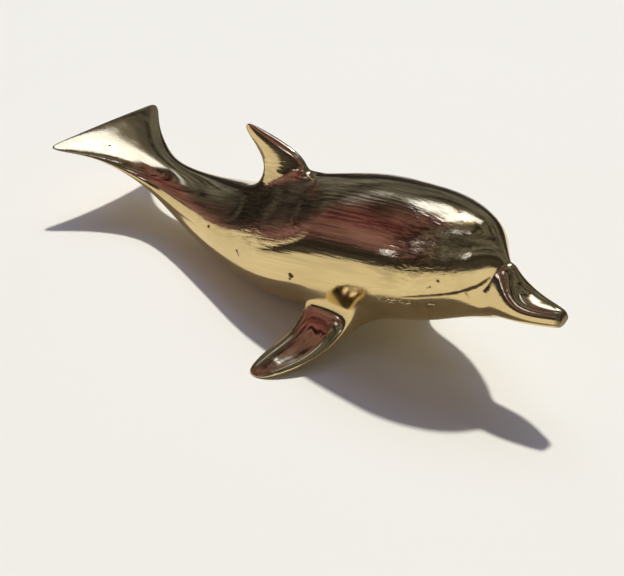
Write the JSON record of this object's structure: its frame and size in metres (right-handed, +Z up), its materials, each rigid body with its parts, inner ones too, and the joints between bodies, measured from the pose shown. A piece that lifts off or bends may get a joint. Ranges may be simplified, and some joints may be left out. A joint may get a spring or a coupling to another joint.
{
  "type": "dolphin figurine",
  "caption": "Solid cast dolphin ornament in polished brass, resting on its belly and the tips of its splayed pectoral fins, with beak and flukes raised.",
  "frame": {"origin": "centre of the bounding box's base, on the plane the figurine stands on", "axes": "+X from the flukes to the beak, +Y to the dolphin's left, +Z up"},
  "size_m": [0.1508, 0.0722, 0.0421],
  "materials": {
    "brass": "cast brass polished to a mirror, with small casting pits and fine polishing scratches"
  },
  "bodies": {
    "root": {"dolphin": "brass"}
  },
  "joints": []
}
